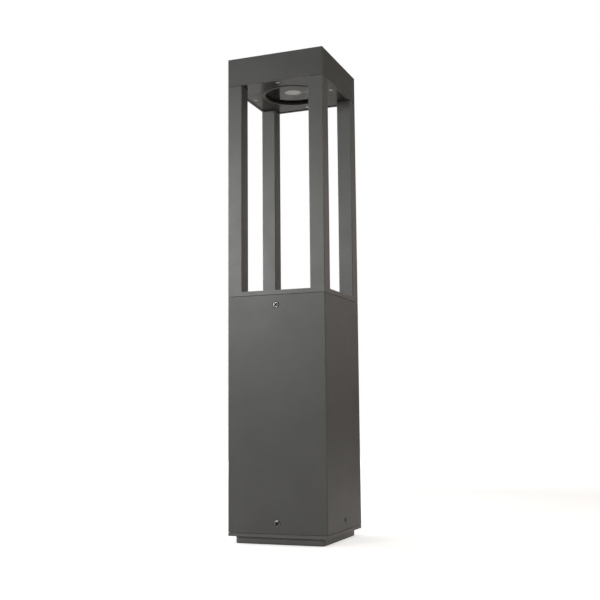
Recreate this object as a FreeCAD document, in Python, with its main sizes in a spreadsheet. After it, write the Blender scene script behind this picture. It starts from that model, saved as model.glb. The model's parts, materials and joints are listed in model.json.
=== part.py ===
"""Square bollard light: an anchored foot, a hollow column and a four-post lantern head.

Frame: millimetres, +Z up, origin on the ground under the middle of the foot.
The front is -Y and the right-hand side is +X.

The light comes apart into four groups that stack on one another:
  foot    bolted to the ground, with upright tabs that the column drops over
  column  the square tube, with the screws and nuts that hold it and the head
  head    deck, posts, lamp plate and lamp, and the driver tray that hangs in the column
  cap     the square lid over the lamp
"""
import FreeCAD, Part
import math
import os
import re
from collections import namedtuple

import Sketcher

Vector = FreeCAD.Vector
Rotation = FreeCAD.Rotation
Placement = FreeCAD.Placement

# ----------------------------------------------------------------------------
# Driving dimensions, in millimetres. Radii are called radius, the rest are lengths.
# ----------------------------------------------------------------------------
SIZES = {
    # the whole light
    "width": 127.0,             # outside width and depth of foot flange, column, deck and cap
    "height": 600.0,            # ground to the top of the cap
    "edge_radius": 1.0,         # softened upright edges of the extrusions and castings
    "joint_gap": 0.6,           # height of the shadow gaps round the column's two ends
    "joint_depth": 1.2,
    "tab_gap": 0.25,            # sliding gap where one group drops into another
    "thread_gap": 0.05,         # gap between a screw's shank and its threaded hole
    "bolt_gap": 0.25,           # gap between a screw's shank and its clearance hole
    # foot
    "plinth_height": 9.0,
    "plinth_inset": 6.3,        # how far the plinth stands back under the flange
    "plinth_corner": 5.0,
    "plinth_foot_edge": 1.5,
    "flange_thickness": 4.5,
    "foot_tab_height": 32.0,
    "anchor_spacing": 80.0,
    "anchor_radius": 4.5,
    "cable_hole_radius": 13.0,
    "cable_well_radius": 24.0,
    "cable_well_depth": 4.0,
    "cable_bore_radius": 7.0,
    "earth_offset": 32.0,       # earth boss, behind the cable hole
    "earth_boss_height": 6.0,
    "earth_boss_radius": 5.0,
    "washer_radius": 4.5,
    "washer_thickness": 0.8,
    # column
    "column_wall": 3.0,
    "column_top": 296.5,
    "tab_width": 26.0,
    "tab_thickness": 4.0,
    "tab_lead_in": 1.0,
    "slot_radius": 2.25,        # half the width of the open slots that drop over the screws
    "foot_screw_level": 25.0,
    "head_screw_level": 284.5,
    "screw_sink": 0.15,         # how far the side screws' heads lie under the painted face
    "nut_across": 7.0,
    "nut_thickness": 3.2,
    "nut_gap": 0.3,
    # deck
    "deck_thickness": 6.0,
    "deck_tab_height": 24.0,
    "gasket_width": 2.0,
    "gasket_thickness": 1.5,
    "gasket_ease": 0.1,         # gap between a gasket and its groove's sides
    # posts
    "post_width": 19.0,
    "post_wall": 2.0,
    "port_radius": 3.8,         # round screw port along each post's inner corner
    "port_inset": 5.1,          # port axis, in from the post's two inner faces
    "lead_inset": 8.0,          # lead passage, in from the outer faces at the rear left post
    "deck_lead_radius": 3.2,
    "plate_lead_radius": 2.5,
    # cap and lamp plate
    "cap_height": 36.0,
    "cap_gap": 0.5,             # shadow gap between the posts and the cap's wall
    "cap_wall": 3.0,
    "cap_upper_wall": 5.0,
    "cap_roof": 3.0,
    "cap_top_edge": 0.8,
    "cap_screw_offset": 52.4,
    "plate_recess": 1.2,
    "plate_thickness": 3.5,
    "cap_boss_radius": 3.5,
    # window and lamp
    "window_radius": 35.8,
    "window_wall": 1.5,         # ring between the window and the edge of the plate's hole
    "bezel_radius": 38.5,
    "bezel_lip": 0.9,
    "bezel_edge": 0.4,
    "seat_depth": 1.6,          # the glass sits sunk in the plate's upper face
    "glass_radius": 40.0,
    "glass_thickness": 3.0,
    "glass_bed": 0.5,           # thickness of the gasket under the glass
    "glass_edge": 0.4,
    "baffle_radius": 48.0,
    "baffle_thickness": 1.5,
    "lens_radius": 10.6,
    "lens_height": 6.1,
    "lens_gap": 0.5,            # air between the glass and the lens
    "lens_ease": 0.2,           # gap between the lens and the parts round it
    "led_board_thickness": 1.5,
    "holder_radius": 15.0,
    "sink_half": 44.0,
    "sink_base": 3.0,
    "fin_height": 11.0,
    "fin_thickness": 1.6,
    "fin_pitch": 8.0,
    "standoff_long": 40.0,      # standoff centres, as the two coordinates of the first one
    "standoff_short": 20.0,
    "standoff_radius": 3.4,
    "boss_radius": 3.0,         # bosses that carry the baffle
    # driver tray
    "tray_half": 32.0,
    "tray_back": 16.0,          # rear face of the tray's upright sheet
    "tray_sheet": 2.0,
    "tray_bottom": 98.0,
    "tray_flange_reach": 26.0,
    "driver_half": 18.0,
    "driver_depth": 22.0,
    "driver_bottom": 170.0,
    "driver_top": 270.0,
    "box_half": 30.0,
    "box_depth": 28.0,
    "box_bottom": 104.0,
    "box_top": 150.0,
    "box_wall": 2.0,
    "lid_thickness": 2.5,
    "led_lead_radius": 1.5,
    "led_lead_bend": 10.0,
    "input_lead_radius": 3.0,
    "pillar_radius": 4.0,       # lid pillars in the junction box
    "pillar_inset": 4.5,        # their axes, in from the box's outer faces
    "terminal_half": 16.0,
    "terminal_depth": 14.0,
    "terminal_pitch": 10.0,
    "gland_across": 20.0,
    "gland_nut_across": 19.0,
    "gland_hole_radius": 8.0,
    "gland_barrel_radius": 7.5,
    "gland_bore_radius": 5.0,
    "gland_flange": 5.0,
    "gland_reach": 16.0,        # how far the barrel reaches below the box
    "gland_nut_height": 12.0,
    "supply_radius": 3.5,       # hole through the rubber seal
}

doc = FreeCAD.newDocument("bollard_light")
sheet = doc.addObject("Spreadsheet::Sheet", "sizes")
for row, (word, value) in enumerate(SIZES.items(), start=1):
    sheet.set(f"A{row}", word)
    sheet.set(f"B{row}", str(value))
    sheet.setAlias(f"B{row}", word)
doc.recompute()


def fx(formula):
    """A formula written in the sheet's words, as the expression engine reads it."""
    return re.sub(r"[a-z_]+", lambda m: "sizes." + m[0] if m[0] in SIZES else m[0], str(formula))


def number(formula):
    """The value of such a formula, in millimetres."""
    return float(sheet.evalExpression(fx(formula)))


# Levels and half widths that several pieces share.
HALF = "(width / 2)"
BORE = "(width / 2 - column_wall)"
TAB_FACE = "(width / 2 - column_wall - tab_gap)"
TAB_BACK = "(width / 2 - column_wall - tab_gap - tab_thickness)"
JOINT = "(width / 2 - joint_depth)"
FLANGE_TOP = "(plinth_height + flange_thickness)"
DECK_TOP = "(column_top + deck_thickness)"
CAP_BOTTOM = "(height - cap_height)"
CAP_CEILING = "(height - cap_roof)"
PLATE_UNDERSIDE = "(height - cap_height + plate_recess)"
PLATE_TOP = "(height - cap_height + plate_recess + plate_thickness)"
PLATE_HALF = "(width / 2 - cap_wall - tab_gap)"
PORT = "(width / 2 - post_width + port_inset)"
LEAD = "(width / 2 - lead_inset)"
GLASS_SEAT = f"({PLATE_TOP} - seat_depth)"
GLASS_BOTTOM = f"({GLASS_SEAT} + glass_bed)"
GLASS_TOP = f"({GLASS_BOTTOM} + glass_thickness)"
BAFFLE_TOP = f"({GLASS_TOP} + baffle_thickness)"
LENS_BOTTOM = f"({GLASS_TOP} + lens_gap)"
LENS_HOLE = "(lens_radius + lens_ease)"
LENS_TOP = f"({LENS_BOTTOM} + lens_height)"
SINK_BOTTOM = f"({LENS_TOP} + led_board_thickness)"
SINK_FLOOR = f"({SINK_BOTTOM} + sink_base)"
TRAY_FACE = "(tray_back - tray_sheet)"
TRAY_FLANGE = "(column_top - tray_sheet)"
TRAY_FRONT = "(tray_back - tray_flange_reach)"
BOX_FRONT = "(tray_back - tray_sheet - box_depth)"
BOX_MIDDLE = "(tray_back - tray_sheet - box_depth / 2)"
DRIVER_MIDDLE = "(tray_back - tray_sheet - driver_depth / 2)"
TRAY_SCREWS = [
    (f"{side}(tray_half - 8)", "(tray_back - tray_flange_reach / 2 - 1)") for side in ("-", "")
]
STANDOFF = ("standoff_long", "standoff_short")
BAFFLE_BOSS = ("standoff_long", "-standoff_short")
M3_THREAD = "(1.5 + thread_gap)"
M3_HOLE = "(1.5 + bolt_gap)"
M4_THREAD = "(2 + thread_gap)"
M4_HOLE = "(2 + bolt_gap)"
LEAD_LEVEL = f"(({BAFFLE_TOP} + {SINK_BOTTOM}) / 2)"

# Screws: shank radius, head radius, head height, cross recess length, width and depth.
Screw = namedtuple("Screw", "shank head rise slot_length slot_width slot_depth")
M4_FLAT = Screw(2.0, 4.2, 2.1, 4.2, 0.95, 1.6)
M4_PAN = Screw(2.0, 4.0, 2.9, 4.0, 0.9, 1.6)
M3_FLAT = Screw(1.5, 2.7, 1.2, 2.8, 0.7, 1.1)
M3_PAN = Screw(1.5, 2.75, 2.2, 2.8, 0.7, 1.3)

Disc = namedtuple("Disc", "x y radius")
TOLERANCE = 1e-4
nodes = []


# ----------------------------------------------------------------------------
# Outlines: lists of (x, y) formulas, and discs
# ----------------------------------------------------------------------------
def rectangle(left, bottom, right, top):
    return [(left, bottom), (right, bottom), (right, top), (left, top)]


def square(half):
    return rectangle(f"-({half})", f"-({half})", half, half)


def hexagon(x, y, across):
    """A nut's outline, across being the distance between opposite flats."""
    reach = f"{across} / sqrt(3)"
    turns = [math.radians(60 * step) for step in range(6)]
    return [
        (f"{x} + {reach} * {math.cos(turn):.9f}", f"{y} + {reach} * {math.sin(turn):.9f}")
        for turn in turns
    ]


def cross(length, width):
    """A screwdriver cross about the sketch's origin."""
    tip, side = length / 2, width / 2
    quarter = [(tip, -side), (tip, side), (side, side)]
    corners = []
    for _ in range(4):
        corners += quarter
        quarter = [(-y, x) for x, y in quarter]
    return corners


class Piece:
    """One sub-part: a body, and the features that shape it."""

    def __init__(self, name):
        self.body = doc.addObject("PartDesign::Body", name)
        self.body.Label = name
        nodes.append(self.body)

    def origin(self, role):
        return next(item for item in self.body.Origin.OriginFeatures if item.Role == role)

    def sketch(self, loops, plane="XY_Plane", offset="0", centre=("0", "0"), turn=0.0):
        """Closed loops on one of the body's planes, moved out by offset along its normal.

        XY faces up, XZ faces the front (-Y) and YZ faces the right-hand side (+X).
        """
        sketch = self.body.newObject("Sketcher::SketchObject", "Outline")
        sketch.AttachmentSupport = [(self.origin(plane), "")]
        sketch.MapMode = "FlatFace"
        sketch.AttachmentOffset = Placement(Vector(), Rotation(Vector(0, 0, 1), turn))
        for axis, formula in zip("xyz", (*centre, offset)):
            sketch.setExpression(f"AttachmentOffset.Base.{axis}", fx(formula))
        for loop in loops:
            if isinstance(loop, Disc):
                self.circle(sketch, loop)
            else:
                self.polygon(sketch, loop)
        return sketch

    @staticmethod
    def pin(sketch, geometry, point, x, y):
        """Hold one point of a sketch at two formulas."""
        for kind, formula in (("DistanceX", x), ("DistanceY", y)):
            rule = Sketcher.Constraint(kind, -1, 1, geometry, point, number(formula))
            sketch.setExpression(f"Constraints[{sketch.addConstraint(rule)}]", fx(formula))

    def circle(self, sketch, disc):
        radius = number(disc.radius)
        middle = Vector(number(disc.x), number(disc.y), 0)
        ring = sketch.addGeometry(Part.Circle(middle, Vector(0, 0, 1), radius), False)
        self.pin(sketch, ring, 3, disc.x, disc.y)
        rule = sketch.addConstraint(Sketcher.Constraint("Radius", ring, radius))
        sketch.setExpression(f"Constraints[{rule}]", fx(disc.radius))

    def polygon(self, sketch, corners):
        points = [Vector(number(x), number(y), 0) for x, y in corners]
        sides = [
            sketch.addGeometry(Part.LineSegment(start, end), False)
            for start, end in zip(points, points[1:] + points[:1])
        ]
        for side, following in zip(sides, sides[1:] + sides[:1]):
            sketch.addConstraint(Sketcher.Constraint("Coincident", side, 2, following, 1))
        for side, (x, y) in zip(sides, corners):
            self.pin(sketch, side, 1, x, y)

    def feature(self, kind, sketch=None):
        item = self.body.newObject(f"PartDesign::{kind}", kind)
        if sketch:
            item.Profile = sketch
            sketch.Visibility = False
        return item

    def pad(self, loops, length, both_ways=False, **where):
        item = self.feature("Pad", self.sketch(loops, **where))
        item.setExpression("Length", fx(length))
        item.Midplane = both_ways
        doc.recompute()
        return item

    def pocket(self, loops, depth, forward=False, **where):
        """Cut backwards from the sketch, or forward along its normal, and check that it cut."""
        before = self.body.Shape.Volume
        item = self.feature("Pocket", self.sketch(loops, **where))
        item.setExpression("Length", fx(depth))
        item.Reversed = forward
        doc.recompute()
        if not self.body.Shape.Volume < before - TOLERANCE:
            raise RuntimeError(f"{self.body.Label}: {item.Name} cuts nothing")
        return item

    def turn(self, outline, plane="XZ_Plane", offset="0", axis="0", lying=False, cut=False):
        """Turn (radius, station) points about an upright axis, or about one lying along Y.

        axis is where the upright axis crosses the sketch's X, or the lying one its Z.
        """
        if lying:
            corners = [(station, f"{axis} + {radius}") for radius, station in outline]
            ends = [("0", axis), ("10", axis)]
        else:
            corners = [(f"{axis} + {radius}", station) for radius, station in outline]
            ends = [(axis, "0"), (axis, "10")]
        sketch = self.sketch([corners], plane=plane, offset=offset)
        start, end = (Vector(number(x), number(y), 0) for x, y in ends)
        line = sketch.addGeometry(Part.LineSegment(start, end), True)
        for point, (x, y) in enumerate(ends, start=1):
            self.pin(sketch, line, point, x, y)
        item = self.feature("Groove" if cut else "Revolution", sketch)
        item.ReferenceAxis = (sketch, ["Axis0"])
        item.Angle = 360
        doc.recompute()
        return item

    def around(self, features, count):
        """Repeat features about the light's own axis."""
        item = self.feature("PolarPattern")
        item.Originals = features
        item.Axis = (self.origin("Z_Axis"), [""])
        item.Angle = 360
        item.Occurrences = count
        self.body.Tip = item
        doc.recompute()
        return item

    def row(self, features, count, span):
        """Repeat features along X over a span."""
        item = self.feature("LinearPattern")
        item.Originals = features
        item.Direction = (self.origin("X_Axis"), [""])
        item.setExpression("Length", fx(span))
        item.Occurrences = count
        self.body.Tip = item
        doc.recompute()
        return item

    def soften(self, radius, chosen, kind="Fillet"):
        """Round or chamfer the edges that chosen(edge) picks."""
        base = self.body.Tip
        names = [f"Edge{i}" for i, edge in enumerate(base.Shape.Edges, start=1) if chosen(edge)]
        if not names:
            raise RuntimeError(f"{self.body.Label}: no edge to soften")
        item = self.feature(kind)
        item.Base = (base, names)
        item.setExpression("Radius" if kind == "Fillet" else "Size", fx(radius))
        doc.recompute()
        return item


def is_upright(edge):
    box = edge.BoundBox
    return box.XLength + box.YLength < TOLERANCE


def upright_at(half):
    """Picks upright edges at the corners of a square about the axis."""
    reach = number(half)

    def chosen(edge):
        corner = edge.Vertexes[0]
        off = max(abs(abs(corner.X) - reach), abs(abs(corner.Y) - reach))
        return is_upright(edge) and off < TOLERANCE

    return chosen


def level_at(level):
    """Picks edges that lie at one level."""
    height = number(level)

    def chosen(edge):
        box = edge.BoundBox
        return abs(box.ZMin - height) < TOLERANCE and abs(box.ZMax - height) < TOLERANCE

    return chosen


# ----------------------------------------------------------------------------
# Fasteners
# ----------------------------------------------------------------------------
def screw_outline(screw, face, length, inward, flat):
    """(radius, station) points: the head's outer face is at face, the shank runs inward."""
    tip_taper, rim, crown_share, crown_radius = 0.6, 0.2, 0.35, 0.72
    sign = "+" if inward > 0 else "-"
    under = f"{face} {sign} {screw.rise}"
    end = f"{face} {sign} {length}"
    tip = f"{face} {sign} {length - tip_taper}"
    if flat:
        head = [(screw.head, face), (screw.head, f"{face} {sign} {rim}"), (screw.shank, under)]
    else:
        crown = f"{face} {sign} {screw.rise * crown_share}"
        head = [
            (screw.head * crown_radius, face),
            (screw.head, crown),
            (screw.head, under),
            (screw.shank, under),
        ]
    return [("0", face), *head, (screw.shank, tip), (screw.shank - tip_taper, end), ("0", end)]


def side_screws(name, level, count):
    """Countersunk screws through the column's walls, just below the painted face."""
    piece = Piece(name)
    face = f"-({HALF} - screw_sink)"
    length = 12.0
    shape = piece.turn(
        screw_outline(M4_FLAT, face, length, 1, True), plane="YZ_Plane", axis=level, lying=True
    )
    recess = piece.pocket(
        [cross(M4_FLAT.slot_length, M4_FLAT.slot_width)],
        M4_FLAT.slot_depth,
        plane="XZ_Plane",
        offset=f"{HALF} - screw_sink",
        centre=("0", level),
        turn=45,
    )
    piece.around([shape, recess], count)


def side_nuts(name, level, count):
    """Hexagon nuts behind the tabs, turned so that a flat faces down."""
    piece = Piece(name)
    shape = piece.pad(
        [hexagon("0", level, "nut_across"), Disc("0", level, M4_THREAD)],
        "nut_thickness",
        plane="XZ_Plane",
        offset=f"{TAB_BACK} - nut_gap - nut_thickness",
    )
    piece.around([shape], count)


def upright_screws(name, screw, places, face, length, up, flat=False, count=1):
    """Screws standing on end; up is 1 where the shank points up, -1 where it points down."""
    piece = Piece(name)
    for x, y in places:
        shape = piece.turn(
            screw_outline(screw, face, length, up, flat), offset=f"-({y})", axis=x
        )
        recess = piece.pocket(
            [cross(screw.slot_length, screw.slot_width)],
            screw.slot_depth,
            forward=up > 0,
            offset=face,
            centre=(x, y),
            turn=45,
        )
    if count > 1:
        piece.around([shape, recess], count)


def lying_screws(name, screw, places, face, length):
    """Pan-headed screws with their heads to the front and their shanks pointing to the rear."""
    piece = Piece(name)
    for x, level in places:
        piece.turn(
            screw_outline(screw, face, length, 1, False),
            plane="YZ_Plane",
            offset=x,
            axis=level,
            lying=True,
        )
        piece.pocket(
            [cross(screw.slot_length, screw.slot_width)],
            screw.slot_depth,
            plane="XZ_Plane",
            offset=f"-({face})",
            centre=(x, level),
            turn=45,
        )


# ----------------------------------------------------------------------------
# Foot
# ----------------------------------------------------------------------------
def tab_outline(root, tip, inward):
    """Side view of a tab: from its root to a tip whose outer corner leads in."""
    sign = "-" if inward > 0 else "+"
    outer, inner = f"-{TAB_FACE}", f"-{TAB_BACK}"
    return [
        (outer, root),
        (outer, f"{tip} {sign} 2 * tab_lead_in"),
        (f"{outer} + tab_lead_in", tip),
        (inner, tip),
        (inner, root),
    ]


def tab_slot(piece, level, mouth):
    """The open slot of the front tab: a round end at the screw and a straight way out."""
    low, high = (level, mouth) if number(mouth) > number(level) else (mouth, level)
    round_end = piece.pocket(
        [Disc("0", level, "slot_radius")], "tab_thickness", plane="XZ_Plane", offset=TAB_FACE
    )
    way_out = piece.pocket(
        [rectangle("-slot_radius", low, "slot_radius", high)],
        "tab_thickness",
        plane="XZ_Plane",
        offset=TAB_FACE,
    )
    return [round_end, way_out]


def make_foot():
    """The casting that is bolted down: plinth, flange and four slotted tabs."""
    piece = Piece("foot_casting")
    plinth_half = f"({HALF} - plinth_inset)"
    piece.pad([square(plinth_half)], "plinth_height")
    piece.soften("plinth_corner", upright_at(plinth_half))
    piece.soften("plinth_foot_edge", level_at("0"))
    piece.pad([square(HALF)], "flange_thickness", offset="plinth_height")
    piece.soften("edge_radius", upright_at(HALF))
    piece.pocket([square("width"), square(JOINT)], "joint_gap", offset=FLANGE_TOP)

    tip = f"({FLANGE_TOP} + foot_tab_height)"
    tab = piece.pad(
        [tab_outline(FLANGE_TOP, tip, 1)], "tab_width", both_ways=True, plane="YZ_Plane"
    )
    piece.around([tab, *tab_slot(piece, "foot_screw_level", tip)], 4)

    anchor = "(anchor_spacing / 2)"
    hole = piece.pocket([Disc(anchor, anchor, "anchor_radius")], FLANGE_TOP, offset=FLANGE_TOP)
    piece.around([hole], 4)
    piece.pocket([Disc("0", "0", "cable_hole_radius")], FLANGE_TOP, offset=FLANGE_TOP)
    piece.pocket([Disc("0", "0", "cable_well_radius")], "cable_well_depth", forward=True)

    boss_top = f"{FLANGE_TOP} + earth_boss_height"
    boss = Disc("0", "earth_offset", "earth_boss_radius")
    piece.pad([boss], "earth_boss_height", offset=FLANGE_TOP)
    bore_depth = "(earth_boss_height + flange_thickness)"
    piece.pocket([Disc("0", "earth_offset", M4_THREAD)], bore_depth, offset=boss_top)


def make_cable_grommet():
    """Rubber sleeve in the foot's cable hole, with a lip on each side of the plate."""
    bottom = "1.5"
    lip = "(cable_hole_radius + 3)"
    top = f"({FLANGE_TOP} + 7)"
    piece = Piece("cable_grommet")
    piece.turn([
        ("cable_bore_radius", bottom),
        (lip, bottom),
        (lip, "cable_well_depth"),
        ("cable_hole_radius", "cable_well_depth"),
        ("cable_hole_radius", FLANGE_TOP),
        (lip, FLANGE_TOP),
        (lip, f"{FLANGE_TOP} + 2"),
        ("cable_bore_radius + 3", top),
        ("cable_bore_radius", top),
    ])


def make_earth_terminal():
    """Screw and washer on the earth boss."""
    boss_top = f"({FLANGE_TOP} + earth_boss_height)"
    washer = Piece("earth_washer")
    place = ("0", "earth_offset")
    washer.pad(
        [Disc(*place, "washer_radius"), Disc(*place, M4_HOLE)], "washer_thickness", offset=boss_top
    )
    face = f"({boss_top} + washer_thickness + {M4_PAN.rise})"
    upright_screws("earth_screw", M4_PAN, [place], face, length=11.0, up=-1)


# ----------------------------------------------------------------------------
# Column
# ----------------------------------------------------------------------------
def countersunk_hole(piece, level):
    """A countersunk clearance hole in the front wall, for a flat-headed screw."""
    outer = f"-{HALF}"
    outside, inside = f"{outer} - 1", f"{outer} + column_wall + 1"
    mouth = M4_FLAT.head + 0.25
    return piece.turn(
        [
            ("0", outside),
            (mouth, outside),
            (mouth, f"{outer} + 0.3"),
            (M4_HOLE, f"{outer} + 2.45"),
            (M4_HOLE, inside),
            ("0", inside),
        ],
        plane="YZ_Plane",
        axis=level,
        lying=True,
        cut=True,
    )


def make_column():
    """The square tube, drilled for the foot's four screws and the head's two."""
    piece = Piece("column_tube")
    piece.pad([square(HALF), square(BORE)], f"column_top - {FLANGE_TOP}", offset=FLANGE_TOP)
    piece.soften("edge_radius", upright_at(HALF))
    piece.soften("edge_radius", upright_at(BORE))
    piece.around([countersunk_hole(piece, "foot_screw_level")], 4)
    piece.around([countersunk_hole(piece, "head_screw_level")], 2)

    side_screws("foot_screws", "foot_screw_level", 4)
    side_nuts("foot_screw_nuts", "foot_screw_level", 4)
    side_screws("head_screws", "head_screw_level", 2)
    side_nuts("head_screw_nuts", "head_screw_level", 2)


# ----------------------------------------------------------------------------
# Head: deck and posts
# ----------------------------------------------------------------------------
def make_deck():
    """The plate that closes the column, with tabs that hang inside it."""
    piece = Piece("deck_plate")
    piece.pad([square(HALF)], "deck_thickness", offset="column_top")
    piece.soften("edge_radius", upright_at(HALF))
    piece.pocket([square("width"), square(JOINT)], "joint_gap", forward=True, offset="column_top")
    seat = "(width / 2 - column_wall / 2)"
    piece.pocket(
        [square(f"{seat} + gasket_width / 2"), square(f"{seat} - gasket_width / 2")],
        "gasket_thickness",
        forward=True,
        offset="column_top",
    )

    tip = "(column_top - deck_tab_height)"
    slotted = piece.pad(
        [tab_outline("column_top", tip, -1)], "tab_width", both_ways=True, plane="YZ_Plane"
    )
    piece.around([slotted, *tab_slot(piece, "head_screw_level", tip)], 2)
    for side in ("-", ""):
        near, far = sorted((f"{side}{TAB_FACE}", f"{side}{TAB_BACK}"), key=number)
        piece.pad(
            [rectangle(near, "-tab_width / 2", far, "tab_width / 2")], "deck_tab_height", offset=tip
        )

    hole = piece.pocket([Disc(PORT, PORT, M4_HOLE)], "deck_thickness", offset=DECK_TOP)
    piece.around([hole], 4)
    lead = Disc(f"-{LEAD}", LEAD, "deck_lead_radius")
    piece.pocket([lead], "deck_thickness", offset=DECK_TOP)
    blind = "(deck_thickness - 1.5)"
    for x, y in TRAY_SCREWS:
        piece.pocket([Disc(x, y, M4_THREAD)], blind, forward=True, offset="column_top")


def make_deck_gasket():
    """Rubber cord in the deck's groove, pressed on the column's top edge."""
    piece = Piece("deck_gasket")
    seat = "(width / 2 - column_wall / 2)"
    outer = f"{seat} + gasket_width / 2 - gasket_ease"
    inner = f"{seat} - gasket_width / 2 + gasket_ease"
    piece.pad([square(outer), square(inner)], "gasket_thickness", offset="column_top")


def make_posts():
    """Four identical hollow bars, each turned so that its screw port faces the axis."""
    length = f"{CAP_BOTTOM} - {DECK_TOP}"
    inner = f"({HALF} - post_width)"
    corners = ("post_rear_right", "post_rear_left", "post_front_left", "post_front_right")
    for quarter, name in enumerate(corners):
        piece = Piece(name)
        piece.pad([rectangle(inner, inner, HALF, HALF)], length)
        piece.soften("edge_radius", is_upright)
        hollow = rectangle(*[f"{inner} + post_wall"] * 2, *[f"{HALF} - post_wall"] * 2)
        piece.pocket([hollow], length, forward=True)
        piece.pad([Disc(PORT, PORT, "port_radius")], length)
        piece.pocket([Disc(PORT, PORT, M4_THREAD)], length, forward=True)
        piece.body.Placement = Placement(Vector(), Rotation(Vector(0, 0, 1), 90 * quarter))
        piece.body.setExpression("Placement.Base.z", fx(DECK_TOP))

    foot_face = f"(column_top - {M4_PAN.rise})"
    port = [(PORT, PORT)]
    upright_screws("post_foot_screws", M4_PAN, port, foot_face, length=20.0, up=1, count=4)
    head_face = f"({PLATE_TOP} + {M4_PAN.rise})"
    upright_screws("post_head_screws", M4_PAN, port, head_face, length=18.0, up=-1, count=4)


# ----------------------------------------------------------------------------
# Head: lamp plate, window and lamp
# ----------------------------------------------------------------------------
def make_lamp_plate():
    """The plate on the posts that carries the lamp and closes the cap from below."""
    piece = Piece("lamp_plate")
    piece.pad([square(PLATE_HALF)], "plate_thickness", offset=PLATE_UNDERSIDE)
    piece.soften("edge_radius", upright_at(PLATE_HALF))
    inner = f"({HALF} - post_width)"
    land = piece.pad(
        [rectangle(inner, inner, f"{PLATE_HALF} - 1", f"{PLATE_HALF} - 1")],
        "plate_recess",
        offset=CAP_BOTTOM,
    )
    piece.around([land], 4)

    through = "(plate_thickness + plate_recess)"
    bosses = [
        piece.pad(
            [Disc(*STANDOFF, "standoff_radius")], f"{SINK_BOTTOM} - {PLATE_TOP}", offset=PLATE_TOP
        ),
        piece.pad([Disc(*BAFFLE_BOSS, "boss_radius")], f"{GLASS_TOP} - {PLATE_TOP}", offset=PLATE_TOP),
        piece.pocket([Disc(*STANDOFF, M3_THREAD)], "10", offset=SINK_BOTTOM),
        piece.pocket([Disc(*BAFFLE_BOSS, M3_THREAD)], "4.5", offset=GLASS_TOP),
        piece.pocket([Disc(PORT, PORT, M4_HOLE)], through, offset=PLATE_TOP),
        piece.pocket([Disc("cap_screw_offset", "0", M3_HOLE)], "plate_thickness", offset=PLATE_TOP),
    ]
    piece.around(bosses, 4)
    mouth = M3_FLAT.head + 0.15
    below = f"{PLATE_UNDERSIDE} - 0.5"
    sink = piece.turn(
        [
            ("0", below),
            (mouth, below),
            (mouth, f"{PLATE_UNDERSIDE} + 0.3"),
            (M3_HOLE, f"{PLATE_UNDERSIDE} + 1.5"),
            ("0", f"{PLATE_UNDERSIDE} + 1.5"),
        ],
        axis="cap_screw_offset",
        cut=True,
    )
    piece.around([sink], 4)
    window = Disc("0", "0", "window_radius + window_wall")
    piece.pocket([window], "plate_thickness", offset=PLATE_TOP)
    piece.pocket([Disc("0", "0", "glass_radius + 0.25")], "seat_depth", offset=PLATE_TOP)
    piece.pocket([Disc(f"-{LEAD}", LEAD, "plate_lead_radius")], through, offset=PLATE_TOP)


def make_window():
    """Bezel, gasket, glass and the black baffle that presses the glass down."""
    sleeve = "(window_radius + window_wall - 0.1)"
    lip = f"({PLATE_UNDERSIDE} - bezel_lip)"
    top = f"({GLASS_BOTTOM} - 0.2)"
    bezel = Piece("window_bezel")
    bezel.turn([
        ("window_radius", lip),
        ("bezel_radius", lip),
        ("bezel_radius", PLATE_UNDERSIDE),
        (sleeve, PLATE_UNDERSIDE),
        (sleeve, top),
        ("window_radius", top),
    ])
    bezel.soften("bezel_edge", level_at(lip))

    gasket = Piece("glass_gasket")
    gasket.pad(
        [Disc("0", "0", "glass_radius - 0.2"), Disc("0", "0", f"{sleeve} + 0.2")],
        "glass_bed",
        offset=GLASS_SEAT,
    )
    glass = Piece("window_glass")
    glass.pad([Disc("0", "0", "glass_radius")], "glass_thickness", offset=GLASS_BOTTOM)
    for level in (GLASS_BOTTOM, GLASS_TOP):
        glass.soften("glass_edge", level_at(level), kind="Chamfer")

    baffle = Piece("lamp_baffle")
    baffle.pad(
        [Disc("0", "0", "baffle_radius"), Disc("0", "0", LENS_HOLE)],
        "baffle_thickness",
        offset=GLASS_TOP,
    )
    holes = [
        baffle.pocket([Disc(*place, radius)], "baffle_thickness", offset=BAFFLE_TOP)
        for place, radius in ((STANDOFF, "standoff_radius + 0.3"), (BAFFLE_BOSS, M3_HOLE))
    ]
    baffle.around(holes, 4)
    face = f"({BAFFLE_TOP} + {M3_PAN.rise})"
    upright_screws("baffle_screws", M3_PAN, [BAFFLE_BOSS], face, length=8.0, up=-1, count=4)


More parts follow.
